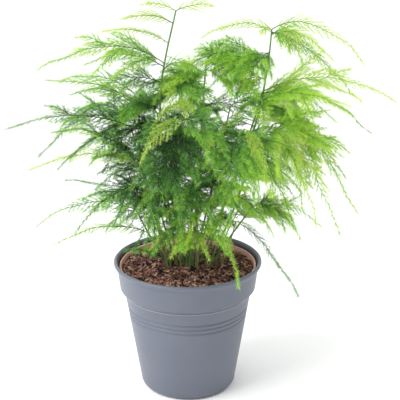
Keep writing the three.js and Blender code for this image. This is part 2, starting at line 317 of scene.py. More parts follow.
def faceOutwards(mesh):
    work = bmesh.new()
    work.from_mesh(mesh)
    bmesh.ops.recalc_face_normals(work, faces=work.faces)
    work.to_mesh(mesh)
    work.free()


def arc(centre, radius, start, end, steps):
    # Points of a round corner, angles in degrees in the (radius, height) plane.
    points = []
    for i in range(steps + 1):
        turn = math.radians(start + (end - start) * i / steps)
        points.append((centre[0] + radius * math.cos(turn), centre[1] + radius * math.sin(turn)))
    return points


pot = {
    "height": 118,
    "lipRadius": 65,
    "lipRoll": 1.9,  # radius of the rolled edge
    "collarTop": 62.2,
    "collarFoot": 60,
    "collarFootHeight": 94,
    "bodyTop": 56,
    "bodyTopHeight": 89.5,
    "bodyFoot": 42.6,
    "footCorner": 5,
    "wall": 1.3,
    "floor": 2.6,
    "grooves": (69, 73.2, 77.4),
    "grooveDepth": 0.9,
    "grooveWidth": 1.3,
    "sides": 144,
    "drains": 6,
    "firstDrain": -72,
    "channelWidth": 6,
    "channelDepth": 1.1,
    "channelStart": 16,
}


def bodyRadius(height):
    share = (height - pot["footCorner"]) / (pot["bodyTopHeight"] - pot["footCorner"])
    return pot["bodyFoot"] + share * (pot["bodyTop"] - pot["bodyFoot"])


def grooveDepthAt(height):
    depth = 0
    for groove in pot["grooves"]:
        off = (height - groove) / pot["grooveWidth"]
        depth += pot["grooveDepth"] * math.exp(-2.2 * off * off)
    return depth


def potOutside():
    foot = arc((pot["bodyFoot"] - pot["footCorner"], pot["footCorner"]), pot["footCorner"], -90, -8, 8)
    body = []
    height = pot["footCorner"]
    while height < pot["bodyTopHeight"] - 0.8:
        body.append((bodyRadius(height) - grooveDepthAt(height), height))
        near = any(abs(height - groove) < 3 for groove in pot["grooves"])
        height += 0.35 if near else 2.5
    step = pot["bodyTopHeight"]
    shoulder = [(pot["bodyTop"], step - 0.7), (pot["bodyTop"] - 0.15, step - 0.25),
                (pot["bodyTop"] - 0.6, step), (pot["bodyTop"] - 0.7, step + 0.1)]
    neck = pot["bodyTop"] - 0.5
    rise = pot["collarFootHeight"] - step
    for i in range(1, 13):
        share = i / 12
        swell = math.sin(share * math.pi / 2) ** 1.15
        radius = neck + (pot["collarFoot"] - neck) * swell
        shoulder.append((radius, step + 0.2 + rise * share))
    top = pot["height"] - 2 * pot["lipRoll"]
    flare = pot["collarTop"] - pot["collarFoot"]
    tall = top - 1.6 - pot["collarFootHeight"]
    low = pot["collarFootHeight"] + 0.4
    collar = [(pot["collarFoot"] + flare * i / 6, low + tall * i / 6) for i in range(1, 7)]
    roll = arc((pot["lipRadius"] - pot["lipRoll"], top + pot["lipRoll"]), pot["lipRoll"], -80, 100, 12)
    return [(0, 0)] + foot + body[1:] + shoulder + collar + roll


def potInside():
    top = pot["height"]
    collar = pot["collarTop"] - pot["wall"]
    body = pot["bodyTop"] - pot["wall"]
    step = pot["bodyTopHeight"]
    return [
        (collar + 1.0, top - 1.2), (collar + 0.3, top - 3), (collar, top - 6),
        (pot["collarFoot"] - pot["wall"], pot["collarFootHeight"]),
        (body, step + 1.5), (body - 0.4, step - 1),
        (pot["bodyFoot"] - pot["wall"], pot["footCorner"] + 1),
        (pot["bodyFoot"] - 5, pot["floor"]), (0, pot["floor"]),
    ]


def innerWallShade(graph, place):
    # Painted shade: 0.75 on the wall that faces the nursery pot, where shade falls in the narrow gap, and 0
    # outside.
    cone = (pot["collarTop"] - pot["collarFoot"]) / (pot["height"] - pot["collarFootHeight"])
    flat = graph.add("ShaderNodeVectorMath", {"operation": "MULTIPLY"}, {0: place, 1: (1, 1, 0)})
    radius = graph.add("ShaderNodeVectorMath", {"operation": "LENGTH"}, {0: flat}, out="Value")
    height = graph.part(place, 2)
    outside = (height - pot["collarFootHeight"] * mm) * cone + pot["collarFoot"] * mm
    inwards = graph.ease(outside - radius, 0.3 * mm, 0.8 * mm, 0.75)
    high = graph.add("ShaderNodeMath", {"operation": "GREATER_THAN"}, {0: height, 1: 100 * mm})
    return inwards * high


def ledgeHighlight(graph, place):
    # Painted highlight: above 0 on the edge where the body meets the shoulder, which is painted paler where
    # it catches the light.
    ledge = (pot["bodyTopHeight"] - 0.4) * mm
    off = graph.add("ShaderNodeMath", {"operation": "ABSOLUTE"}, {0: graph.part(place, 2) - ledge})
    return graph.ease(off, 0.9 * mm, 0.3 * mm, 0.5)


def paintPot(graph, shader):
    place = graph.add("ShaderNodeTexCoord", out="Object")
    cloud = graph.cloud(place, 28, 3)
    grain = graph.cloud(place, 1900)
    dust = graph.cloud(place, 260, 4, 0.7)
    base = graph.mixColour(cloud, tint(94, 100, 113), tint(105, 111, 124))
    speck = graph.ramp(dust, (0.66, (0, 0, 0, 1)), (0.8, (0.3, 0.3, 0.3, 1)))
    colour = graph.mixColour(speck, base, tint(150, 150, 150))
    # painted shade darkens the inside wall of the collar above the nursery pot
    colour = graph.mixColour(innerWallShade(graph, place), colour, tint(40, 42, 48))
    # painted highlight along the ledge under the collar
    colour = graph.mixColour(ledgeHighlight(graph, place), colour, tint(176, 178, 184))
    bump = graph.bump(grain, 0.12, 0.2 * mm)
    feed(graph, shader, Base_Color=colour, Roughness=0.34 + 0.14 * dust, Normal=bump)


def cutDrains(piece):
    # Radial channels in the underside, open at the foot, so that water runs away from under the pot.
    cutter = bmesh.new()
    for i in range(pot["drains"]):
        turn = math.radians(pot["firstDrain"] + i * 360 / pot["drains"])
        made = bmesh.ops.create_cube(cutter, size=1)["verts"]
        length = pot["lipRadius"] - pot["channelStart"]
        for vertex in made:
            x = (vertex.co.x * length + pot["channelStart"] + length / 2) * mm
            y = vertex.co.y * pot["channelWidth"] * mm
            z = vertex.co.z * 2 * pot["channelDepth"] * mm
            vertex.co = (x * math.cos(turn) - y * math.sin(turn), x * math.sin(turn) + y * math.cos(turn), z)
    mesh = bpy.data.meshes.new("drainCutter")
    cutter.to_mesh(mesh)
    cutter.free()
    tool = newPiece("drainCutter", mesh)
    cut = piece.modifiers.new("drains", "BOOLEAN")
    cut.operation = "DIFFERENCE"
    cut.object = tool
    shown = piece.evaluated_get(bpy.context.evaluated_depsgraph_get())
    plain = bpy.data.meshes.new_from_object(shown)
    piece.modifiers.clear()
    piece.data = plain
    bpy.data.objects.remove(tool)


def makePot():
    mesh = turnedMesh("greyPot", potOutside() + potInside(), pot["sides"])
    faceOutwards(mesh)
    piece = newPiece("greyPot", mesh)
    cutDrains(piece)
    piece.data.materials.clear()
    piece.data.materials.append(newMaterial("greyPlastic", paintPot))
    keepPiece(piece, "pot_plastic", "outer_pot")


makePot()
print("outer pot made")

nursery = {
    "top": 113.5,
    "rimRadius": 60.2,
    "rimHeight": 5.5,
    "wall": 1.0,
    "inside": ((35.5, 2.9), (37.5, 5.9), (50.4, 86.5), (55.8, 95.5), (57.6, 107)),
    "sides": 160,
}


def paintNursery(graph, shader):
    place = graph.add("ShaderNodeTexCoord", out="Object")
    cloud = graph.cloud(place, 60, 4)
    colour = graph.mixColour(cloud, tint(222, 162, 144), tint(240, 196, 182))
    bump = graph.bump(graph.cloud(place, 1400), 0.15, 0.2 * mm)
    feed(graph, shader, Base_Color=colour, Roughness=0.45 + 0.2 * cloud, Normal=bump)


def makeNurseryPot():
    wall = nursery["wall"]
    outer = [(radius + wall, height) for radius, height in nursery["inside"]]
    inner = [(radius, height + wall) for radius, height in reversed(nursery["inside"])]
    rimFoot = nursery["top"] - nursery["rimHeight"]
    edge = nursery["rimRadius"]
    bead = arc((edge - 0.9, nursery["top"] - 0.9), 0.9, 0, 180, 8)
    rim = [(edge - 0.2, rimFoot), (edge, rimFoot + 0.3)] + bead
    profile = [(0, outer[0][1])] + outer + rim + inner + [(0, inner[-1][1])]
    mesh = turnedMesh("nurseryPot", profile, nursery["sides"])
    for vertex in mesh.vertices:  # the thin rim isn't quite round
        turn = math.atan2(vertex.co.y, vertex.co.x)
        lift = max(0, vertex.co.z / mm - 95) / 20
        vertex.co.z += 0.5 * mm * lift * math.sin(3 * turn + 1)
    faceOutwards(mesh)
    piece = newPiece("nurseryPot", mesh)
    piece.data.materials.append(newMaterial("terracottaPlastic", paintNursery))
    keepPiece(piece, "nursery_plastic", "nursery_pot")


makeNurseryPot()
print("nursery pot made")

soil = {
    "edgeHeight": 109.6,
    "mound": 1.2,
    "lump": 0.6,
    "rings": 70,
    "spokes": 210,
    "grain": 1.7,  # how far the crumbly top rises and sinks
    "crumbs": 2900,
    "crumbSize": (0.5, 1.9),
    "paleBits": 90,
    "paleSize": (0.4, 1.2),
    "fibres": 230,
    "fibreLength": (4, 13),
    "fibreRadius": 0.22,
    "fibreReach": 55,
    "seed": 5,
}


def smoothStep(value, low, high):
    share = min(1, max(0, (value - low) / (high - low)))
    return share * share * (3 - 2 * share)


def soilHeight(x, y):
    # Level at the edge with a low, uneven mound in the middle, in millimetres.
    radius = math.hypot(x, y)
    wave = math.sin(0.21 * x + 1) * math.cos(0.17 * y) + 0.6 * math.sin(0.09 * x - 0.24 * y)
    rise = soil["mound"] * smoothStep(56 - radius, 0, 30)
    return soil["edgeHeight"] + rise + soil["lump"] * wave * smoothStep(57 - radius, 0, 8)


def crumbly(x, y):
    # The soil's height with its crumbs and pits.
    coarse = noise.noise(Vector((x / 5.2, y / 5.2, 3)))
    fine = noise.noise(Vector((x / 1.9, y / 1.9, 8)))
    calm = 1 - smoothStep(math.hypot(x, y), 54, 57)
    return soilHeight(x, y) + soil["grain"] * calm * (0.9 * coarse + 0.7 * fine)


def makeSoilMesh():
    edge = nursery["inside"][-1][0] - 0.2
    inside = list(nursery["inside"])
    foot = inside[0][1] + nursery["wall"] + 0.2
    side = [(radius - 0.25, height) for radius, height in inside if height > foot]
    below = [(inside[0][0] - 0.2, foot)] + side[:-1]
    top = [(edge * (1 - i / soil["rings"]), soil["edgeHeight"]) for i in range(soil["rings"] + 1)]
    mesh = turnedMesh("pottingSoil", [(0, foot)] + below + top, soil["spokes"])
    for vertex in mesh.vertices:
        x, y, z = vertex.co / mm
        if abs(z - soil["edgeHeight"]) < 0.01:
            vertex.co.z = crumbly(x, y) * mm
    faceOutwards(mesh)
    return mesh


def makeCrumb():
    # One irregular lump about one unit across.
    work = bmesh.new()
    bmesh.ops.create_icosphere(work, subdivisions=1, radius=0.5)
    for vertex in work.verts:
        vertex.co *= 1 + 0.5 * noise.noise(vertex.co * 3.1 + Vector((soil["seed"], 0, 0)))
    mesh = bpy.data.meshes.new("crumb")
    work.to_mesh(mesh)
    work.free()
    return newPiece("crumb", mesh)


def makeScatterTree():
    # Scatters turned and stretched copies of one lump over the upper faces of a mesh, and drops the mesh.
    inputs = [("Lump", "NodeSocketObject"), ("Count", "NodeSocketFloat"), ("Smallest", "NodeSocketFloat"),
              ("Largest", "NodeSocketFloat"), ("Seed", "NodeSocketInt"), ("Material", "NodeSocketMaterial")]
    tree, graph, given = newTree("scatterLumps", inputs)
    facesUp = graph.above(graph.part(graph.add("GeometryNodeInputNormal"), 2), 0.3)
    high = graph.above(graph.part(graph.add("GeometryNodeInputPosition"), 2), 0.1)
    chosen = graph.add("FunctionNodeBooleanMath", None, {0: facesUp, 1: high})
    area = math.pi * (nursery["inside"][-1][0] * mm) ** 2
    sockets = {"Mesh": given["Geometry"], "Selection": chosen, "Density": given["Count"] * (1 / area),
               "Seed": given["Seed"]}
    spots = graph.add("GeometryNodeDistributePointsOnFaces", None, sockets)
    turn = graph.chanceVector(0, 6.28, given["Seed"])
    stretch = graph.chanceVector(0.55, 1.25, given["Seed"])
    size = graph.chance(given["Smallest"], given["Largest"], given["Seed"])
    scale = graph.add("ShaderNodeVectorMath", {"operation": "SCALE"}, {0: stretch, "Scale": size})
    lump = graph.add("GeometryNodeObjectInfo", None, {"Object": given["Lump"]}, out="Geometry")
    sockets = {"Points": spots, "Instance": lump, "Rotation": turn, "Scale": scale}
    lumps = graph.add("GeometryNodeInstanceOnPoints", None, sockets)
    finishTree(graph, lumps, given["Material"])
    return tree


def paintSoil(graph, shader):
    place = graph.add("ShaderNodeTexCoord", out="Object")
    crumb = graph.add("ShaderNodeTexVoronoi", None, {"Vector": place, "Scale": 430}, out="Color")
    cloud = graph.cloud(place, 90, 5, 0.7)
    shade = 0.8 * graph.part(crumb, 0) + 1.1 * (cloud - 0.5) + 0.1
    earth = graph.ramp(shade, (0.0, tint(14, 9, 9)), (0.32, tint(52, 34, 31)), (0.66, tint(140, 98, 86)),
                       (0.9, tint(206, 164, 144)), (1.0, tint(238, 212, 190)))
    bump = graph.bump(graph.cloud(place, 1500, 3), 0.6, 0.6 * mm)
    feed(graph, shader, Base_Color=earth, Roughness=0.75 + 0.2 * cloud, Specular_IOR_Level=0.3, Normal=bump)


def paintPaleBits(graph, shader):
    place = graph.add("ShaderNodeTexCoord", out="Object")
    cloud = graph.cloud(place, 700, 4)
    colour = graph.mixColour(cloud, tint(228, 212, 190), tint(176, 148, 118))
    bump = graph.bump(cloud, 0.4, 0.4 * mm)
    feed(graph, shader, Base_Color=colour, Roughness=0.7 + 0.2 * cloud, Normal=bump)


def paintFibres(graph, shader):
    place = graph.add("ShaderNodeUVMap", {"uv_map": leafMap})
    streaks = graph.cloud(place, 40, 3, flat=True)
    fibre = graph.ramp(graph.part(place, 1) + 0.2 * (streaks - 0.5), (0.0, tint(62, 38, 30)),
                       (0.5, tint(126, 78, 58)), (0.85, tint(170, 118, 86)), (1.0, tint(206, 172, 134)))
    bump = graph.bump(streaks, 0.3, 0.2 * mm)
    feed(graph, shader, Base_Color=fibre, Roughness=0.6 + 0.25 * streaks, Normal=bump)


def makeSoil():
    ground = newPiece("pottingSoil", makeSoilMesh())
    earth = newMaterial("earth", paintSoil)
    ground.data.materials.append(earth)
    keepPiece(ground, "soil", "potting_soil")
    lump = makeCrumb()
    scatter = makeScatterTree()
    kinds = (("soilCrumbs", soil["crumbs"], soil["crumbSize"], earth),
             ("paleBits", soil["paleBits"], soil["paleSize"], newMaterial("paleBits", paintPaleBits)))
    for name, count, (low, high), material in kinds:
        piece = newPiece(name, ground.data.copy())
        values = {"Lump": lump, "Count": count, "Smallest": 2 * low * mm, "Largest": 2 * high * mm,
                  "Seed": soil["seed"], "Material": material}
        applyTree(piece, scatter, values)
        keepPiece(piece, "soil")
    bpy.data.objects.remove(lump)


makeSoil()
print("soil made")

# where each stem leaves the soil, and the places it then passes (millimetres)
stems = {
    "tall": ((-10, 4), [(-20, 0, 200), (-22, 2, 264), (-18, 6, 292), (-9, 12, 331)]),
    "left_upper": ((-13, 9), [(-32, 8, 190), (-44, 12, 262)]),
    "left_mid": ((-16, 2), [(-32, -8, 175), (-46, -14, 240)]),
    "left_front": ((-15, -4), [(-26, -20, 165), (-36, -32, 212)]),
    "left_low": ((-19, -1), [(-34, -8, 145), (-48, -12, 176)]),
    "right_upper": ((12, 8), [(40, 8, 185), (60, 9, 245), (68, 12, 292), (70, 13, 316)]),
    "right_mid": ((16, 4), [(36, 0, 180), (56, -6, 245), (62, -8, 268)]),
    "right_front": ((20, -3), [(38, -16, 165), (58, -24, 226), (70, -26, 245)]),
    "right_low": ((23, 1), [(38, -2, 140), (56, -6, 168)]),
    "front_left": ((-6, -5), [(-8, -22, 170), (-2, -36, 238), (-4, -46, 256)]),
    "front_right": ((8, -6), [(20, -24, 170), (36, -38, 228), (46, -46, 246)]),
    "centre": ((3, 3), [(10, 8, 190), (14, 14, 262), (16, 18, 286)]),
    "back_left": ((-5, 15), [(-18, 38, 180), (-28, 58, 236)]),
    "back_right": ((8, 15), [(24, 40, 180), (38, 60, 240)]),
    "back": ((1, 20), [(4, 44, 165), (6, 66, 206)]),
    "front_low": ((2, -9), [(6, -26, 150), (14, -38, 182)]),
}

# stem, how far up it, tip, arch, longest side branch, leaf colour (millimetres)
fronds = {
    "crown_left": ("tall", 0.95, (-52, -18, 328), 10, 14, "young"),
    "crown_right": ("tall", 1, (24, 20, 334), 6, 15, "young"),
    "crown_side": ("tall", 0.87, (-64, -30, 321), 12, 7, "young"),
    "left_arch": ("tall", 0.78, (-116, -28, 288), 34, 26, "fresh"),
    "left_comb": ("left_upper", 1, (-108, 30, 268), 20, 17, "green"),
    "left_back": ("left_upper", 0.86, (-112, 74, 226), 34, 22, "deep"),
    "left_long": ("left_mid", 1, (-146, -36, 242), 22, 22, "deep"),
    "left_reach": ("left_mid", 0.84, (-104, -64, 246), 26, 22, "green"),
    "left_fresh": ("left_front", 1, (-126, -56, 214), 24, 16, "lime"),
    "left_turn": ("left_front", 0.8, (-84, -96, 178), 34, 22, "deep"),
    "left_wisp": ("left_low", 1, (-106, 16, 184), 12, 6, "deep"),
    "left_droop": ("left_low", 0.9, (-126, -26, 160), 24, 19, "green"),
    "left_skirt": ("left_low", 0.66, (-108, -58, 152), 22, 14, "fresh"),
    "left_sprig": ("left_low", 0.4, (-50, -46, 143), 8, 12, "deep"),
    "right_arch": ("right_upper", 1, (144, -16, 292), 34, 15, "lime"),
    "right_turn": ("right_upper", 0.98, (14, 18, 308), 20, 10, "lime"),
    "right_inner": ("right_upper", 0.78, (-22, 24, 268), 32, 32, "green"),
    "right_long": ("right_mid", 1, (168, -22, 264), 30, 24, "lime"),
    "right_reach": ("right_mid", 0.9, (126, -66, 262), 24, 22, "fresh"),
    "right_curl": ("right_upper", 0.62, (160, 28, 224), 44, 14, "green"),
    "right_droop": ("right_front", 1, (140, -32, 170), 46, 34, "fresh"),
    "right_fall": ("right_front", 0.86, (124, -58, 158), 52, 32, "fresh"),
    "right_level": ("right_mid", 0.68, (136, 18, 214), 16, 16, "green"),
    "right_skirt": ("right_low", 1, (96, -34, 146), 24, 24, "fresh"),
    "right_thread": ("right_low", 0.8, (92, -42, 100), 18, 10, "deep"),
    "front_spear": ("front_left", 1, (-34, -88, 232), 10, 14, "lime"),
    "front_fan": ("front_left", 0.78, (-32, -92, 160), 36, 34, "deep"),
    "front_tassel": ("front_right", 1, (64, -84, 204), 20, 12, "lime"),
    "front_plume": ("front_right", 0.8, (32, -94, 178), 38, 34, "green"),
    "centre_high": ("centre", 1, (52, 58, 262), 24, 32, "green"),
    "centre_turn": ("centre", 0.8, (-58, 52, 214), 40, 36, "deep"),
    "back_left_fan": ("back_left", 1, (-78, 118, 196), 32, 36, "deep"),
    "back_right_fan": ("back_right", 1, (104, 112, 206), 36, 36, "green"),
    "back_right_low": ("back_right", 0.72, (116, 60, 164), 34, 32, "deep"),
    "back_fan": ("back", 1, (10, 136, 160), 34, 36, "deep"),
    "front_hanger": ("front_low", 1, (42, -69, 121), 30, 13, "fresh"),
    "front_drop": ("front_low", 0.7, (-12, -52, 138), 14, 13, "lime"),
}

# more plumes inside the plant, laid out the same way
shoots = {
    "crownTop": ("tall", 1, (-38, 10, 336), 6, 9, "young"),
    "highLeft": ("right_upper", 0.8, (18, -14, 272), 16, 21, "green"),
    "highMiddle": ("right_upper", 0.84, (44, -30, 266), 14, 24, "green"),
    "highRight": ("centre", 0.99, (70, -6, 280), 18, 26, "green"),
    "innerLeft": ("centre", 0.92, (-28, -10, 258), 24, 28, "fresh"),
    "innerFront": ("tall", 0.62, (32, -24, 256), 24, 26, "green"),
    "innerBack": ("tall", 0.55, (-62, -20, 236), 26, 26, "green"),
    "lowerRight": ("right_front", 0.92, (104, -72, 172), 36, 24, "lime"),
    "upperRight": ("right_mid", 0.98, (120, -30, 250), 20, 24, "fresh"),
    "midRight": ("front_right", 0.9, (86, -40, 208), 22, 21, "green"),
    "skirtRight": ("right_low", 0.9, (112, -24, 158), 26, 22, "fresh"),
    "highCentre": ("right_upper", 0.72, (24, -4, 256), 18, 24, "green"),
    "highFront": ("centre", 0.95, (62, -16, 262), 12, 21, "fresh"),
    "combLeft": ("left_upper", 0.95, (-98, 0, 262), 20, 19, "green"),
    "leftHigh": ("tall", 0.76, (-84, 6, 290), 16, 19, "green"),
    "heartFill": ("centre", 0.6, (-30, -30, 200), 16, 25, "deep"),
    "archUnder": ("right_upper", 0.96, (118, -20, 294), 22, 13, "lime"),
    "farRight": ("right_mid", 0.8, (128, 6, 206), 30, 24, "green"),
    "frontRight": ("front_right", 0.94, (84, -82, 176), 28, 28, "green"),
    "brightHand": ("centre", 0.82, (-26, -44, 246), 20, 26, "lime"),
    "greenMiddle": ("front_left", 0.95, (34, -72, 230), 18, 24, "green"),
    "highArch": ("tall", 0.66, (-72, -16, 272), 14, 24, "green"),
    "besideTall": ("tall", 0.74, (8, -12, 286), 14, 16, "fresh"),
    "midLeft": ("tall", 0.5, (-66, -34, 214), 26, 26, "deep"),
    "midFront": ("front_left", 0.88, (-44, -34, 234), 14, 24, "deep"),
    "underHand": ("centre", 0.72, (-14, -56, 226), 18, 22, "green"),
    "tasselLeft": ("front_left", 0.4, (-30, -46, 141), 10, 11, "green"),
    "tasselFirst": ("front_low", 0.55, (0, -50, 142), 10, 12, "fresh"),
    "tasselSecond": ("front_low", 0.7, (17, -52, 137), 12, 11, "lime"),
    "tasselThird": ("front_right", 0.42, (33, -48, 140), 10, 12, "green"),
    "farHigh": ("right_upper", 0.99, (60, -2, 314), 9, 13, "young"),
    "leftTip": ("left_upper", 0.97, (-116, -8, 276), 14, 16, "fresh"),
    "rightTip": ("right_upper", 0.98, (138, -14, 264), 18, 19, "fresh"),
    "rightEdge": ("right_mid", 0.9, (132, -24, 198), 24, 19, "green"),
    "archFill": ("right_upper", 0.97, (94, -12, 292), 16, 21, "fresh"),
}

growth = {
    "rootHeight": 99,
    "straightHeight": 113,
    "stemFoot": 1.1,
    "stemTop": 0.65,
    "midrib": 0.5,
    "twig": 0.26,
    "twiglet": 0.13,
    "branchGap": 4.5,
    "branchAngle": 44,
    "twigletGap": 3.5,
    "twigletAngle": 44,
    "twigletShare": 0.24,
    "needleLength": 4.4,
    "needleWidth": 0.42,
    "needlesInTuft": 4,
    "tuftGap": 1.35,
    "waver": 3.5,
    "waverSeed": 4,
    "combPlume": 18,  # plumes with shorter branches than this are plain combs, without twiglets
    "slimPlume": 14,  # plumes with shorter branches than this are brushes of long needles
    "light": (0.1, -0.8, 1),  # the fronds turn their faces this way
    "heart": (-2, -8, 214),  # painted shade: the foliage is painted darker towards this point
    "heartShade": 0.34,
    "tones": {"deep": 0.12, "green": 0.3, "fresh": 0.48, "lime": 0.71, "young": 0.79},
    "toneSpread": 0.16,
    "sprayGap": 6,
    "forks": (0.08, 0.2, 0.34, 0.5),
    "forkAngle": 38,
    "thinShoots": 22,
    "thinSpread": (25, 14),
    "thinLength": (34, 86),
    "seed": 7,
}

noise.seed_set(growth["waverSeed"])

# the heights between which each stem carries short sprays, their length, how much they droop, their tint
sprays = {
    "tall": (160, 244, 52, 0.25, 0.16),
    "left_upper": (162, 236, 52, 0.25, 0.18),
    "left_mid": (150, 234, 54, 0.3, 0.12),
    "left_front": (148, 208, 52, 0.35, 0.16),
    "left_low": (152, 175, 48, 0.25, 0.12),
    "right_upper": (160, 262, 56, 0.25, 0.4),
    "right_mid": (165, 250, 52, 0.3, 0.42),
    "right_front": (152, 210, 46, 0.4, 0.44),
    "right_low": (150, 167, 46, 0.3, 0.24),
    "front_left": (144, 240, 48, 0.4, 0.24),
    "front_right": (144, 232, 48, 0.4, 0.36),
    "centre": (150, 268, 58, 0.2, 0.14),
    "back_left": (155, 235, 56, 0.3, 0.08),
    "back_right": (155, 238, 56, 0.3, 0.16),
    "back": (150, 205, 52, 0.3, 0.06),
    "front_low": (142, 180, 40, 0.5, 0.44),
}

room = {
    "low": (-146, -98, 116),
    "sprayFoot": 139,
    "high": (168, 136, 328),
}


def inRoom(point):
    # The nearest point inside the plant's own space.
    return Vector([min(max(point[k], room["low"][k]), room["high"][k]) for k in range(3)])


def knot(points, i):
    # The curve's points, with one more beyond each end.
    if i < 0:
        return points[0] * 2 - points[1]
    if i >= len(points):
        return points[-1] * 2 - points[-2]
    return points[i]


def curveAt(points, t):
    # A centripetal Catmull-Rom curve through the points.
    place = (len(points) - 1) * t
    i = min(int(place), len(points) - 2)
    share = place - i
    a, b, c, d = (knot(points, i + k) for k in (-1, 0, 1, 2))
    first, middle, last = ((q - p).length ** 0.5 for p, q in ((a, b), (b, c), (c, d)))
    leave = ((b - a) / first - (c - a) / (first + middle) + (c - b) / middle) * middle
    arrive = ((c - b) / middle - (d - b) / (middle + last) + (d - c) / last) * middle
    square = share * share
    cube = square * share
    return (b * (2 * cube - 3 * square + 1) + leave * (cube - 2 * square + share)
            + c * (3 * square - 2 * cube) + arrive * (cube - square))


def stemAtHeight(points, height):
    low = 0
    high = 1
    for _ in range(18):
        middle = (low + high) / 2
        if curveAt(points, middle).z < height:
            low = middle
        else:
            high = middle
    return curveAt(points, low)


def stemPoints(spec):
    (x, y), path = spec
    straight = [(x, y, growth["rootHeight"]), (x, y, growth["straightHeight"])]
    return [Vector(point) for point in straight + path]


def arched(start, crest, tip, t):
    return start * (1 - t) ** 2 + crest * (2 * t * (1 - t)) + tip * t ** 2


class Strands:
    # Thin lines that become twigs and carry needles. Each point has a radius, a tint and a needle size.
    def __init__(self):
        self.points = []
        self.edges = []
        self.values = {"thick": [], "tone": [], "needle": []}

    def add(self, line, thick, tone, needle):
        # thick, tone and needle are (at the root, at the tip)
        first = len(self.points)
        for i, point in enumerate(line):
            share = i / (len(line) - 1)
            self.points.append(tuple(c * mm for c in point))
            self.values["thick"].append((thick[0] + (thick[1] - thick[0]) * share) * mm)
            self.values["tone"].append(tone[0] + (tone[1] - tone[0]) * share)
            self.values["needle"].append(needle[0] + (needle[1] - needle[0]) * share)
            if i:
                self.edges.append((first + i - 1, first + i))

    def mesh(self, name):
        mesh = bpy.data.meshes.new(name)
        mesh.from_pydata(self.points, self.edges, [])
        for label, values in self.values.items():
            mesh.attributes.new(label, "FLOAT", "POINT").data.foreach_set("value", values)
        return mesh


def bentLine(root, way, length, steps, pull, droop):
    # A line that turns towards pull and sinks as it goes.
    line = [root]
    for i in range(steps):
        way = (way + pull * (1 / steps) - up * (droop / steps)).normalized()
        line.append(line[-1] + way * (length / steps))
    return line


def addTwiglets(strands, chance, line, normal, length, tone):
    # Short shoots on both sides of a side branch, in the plane of the frond.
    gap = growth["twigletGap"]
    reach = min(9, 1.5 + growth["twigletShare"] * length)
    count = int(length / gap)
    angle = math.radians(growth["twigletAngle"])
    for i in range(1, count):
        share = i / count
        place = share * (len(line) - 1)
        k = min(int(place), len(line) - 2)
        along = (line[k + 1] - line[k]).normalized()
        root = line[k].lerp(line[k + 1], place - k)
        side = normal.cross(along).normalized() * (1 if i % 2 else -1)
        lift = normal * chance.uniform(-0.18, 0.22)
        way = (along * math.cos(angle) + side * math.sin(angle) + lift).normalized()
        size = reach * (1 - 0.72 * share) * chance.uniform(0.75, 1.15)
        twiglet = [root, root + way * size]
        twigTone = tone + 0.26 * share + chance.uniform(-0.08, 0.08)
        strands.add(twiglet, (growth["twiglet"], 0.05), (twigTone, twigTone + 0.08), (1, 0.55))


def addSideBranch(strands, chance, root, along, side, normal, length, tone, feathered):
    angle = math.radians(growth["branchAngle"] + chance.uniform(-8, 8))
    way = along * math.cos(angle) + side * math.sin(angle) + normal * chance.uniform(-0.08, 0.12)
    steps = max(2, int(length / 5))
    line = bentLine(root, way.normalized(), length, steps, along * 0.55, 0.28)
    strands.add(line, (growth["twig"], 0.07), (tone, tone + 0.28), (0.85, 0.6))
    if feathered and length > 7:
        addTwiglets(strands, chance, line, normal, length, tone)


def branchLength(longest, t, full):
    # Short at the foot, then long as far as the share given as full, then shorter towards the tip.
    return longest * smoothStep(t, -0.1, 0.2) * (1 - 0.9 * smoothStep(t, full, 1.02))


def heartShading(point):
    # Painted shade: how much darker the leaves are painted near the middle of the plant, and lighter further
    # out.
    away = (point - Vector(growth["heart"])).length
    return growth["heartShade"] * (smoothStep(away, 20, 100) - 0.5)


def growFrond(strands, chance, start, crest, tip, longest, tone, bare=0.06, feathered=True):
    # One plume: a midrib with side branches to the left and right, longest near the start.
    steps = 8 + int((tip - start).length / 7)
    line = [arched(start, crest, tip, i / steps) for i in range(steps + 1)]
    for i, point in enumerate(line):
        point += noise.noise_vector(point * 0.05) * growth["waver"] * (i / steps)
    slim = longest < growth["slimPlume"]
    needles = (0.5, 1.2) if slim else (0.1, 0.9)
    strands.add(line, (growth["midrib"] * (0.6 if slim else 1), 0.09), (tone, tone + 0.2), needles)
    roll = chance.uniform(-0.3, 0.3)
    facing = Vector(growth["light"]).normalized()
    facing = (facing + facing.cross(tip - start).normalized() * roll).normalized()
    length = sum((b - a).length for a, b in zip(line, line[1:]))
    count = int(length * (0.98 - bare) / growth["branchGap"] * 2)
    for i in range(count):
        t = bare + (0.98 - bare) * (i + chance.uniform(0, 0.5)) / count
        k = min(int(t * steps), steps - 1)
        along = (line[k + 1] - line[k]).normalized()
        side = along.cross(facing).normalized()
        normal = side.cross(along)
        root = line[k].lerp(line[k + 1], t * steps - k)
        size = branchLength(longest, t, 0.08 if feathered else 0.28) * chance.uniform(0.82, 1.12)
        # painted shade deep inside the plant goes into each side branch's tone
        branchTone = tone + heartShading(root) + 0.3 * (t - 0.35) + chance.uniform(-1, 1) * growth["toneSpread"]
        if size > 1.8:
            outwards = side * (1 if i % 2 else -1)
            addSideBranch(strands, chance, root, along, outwards, normal, size, branchTone, feathered)


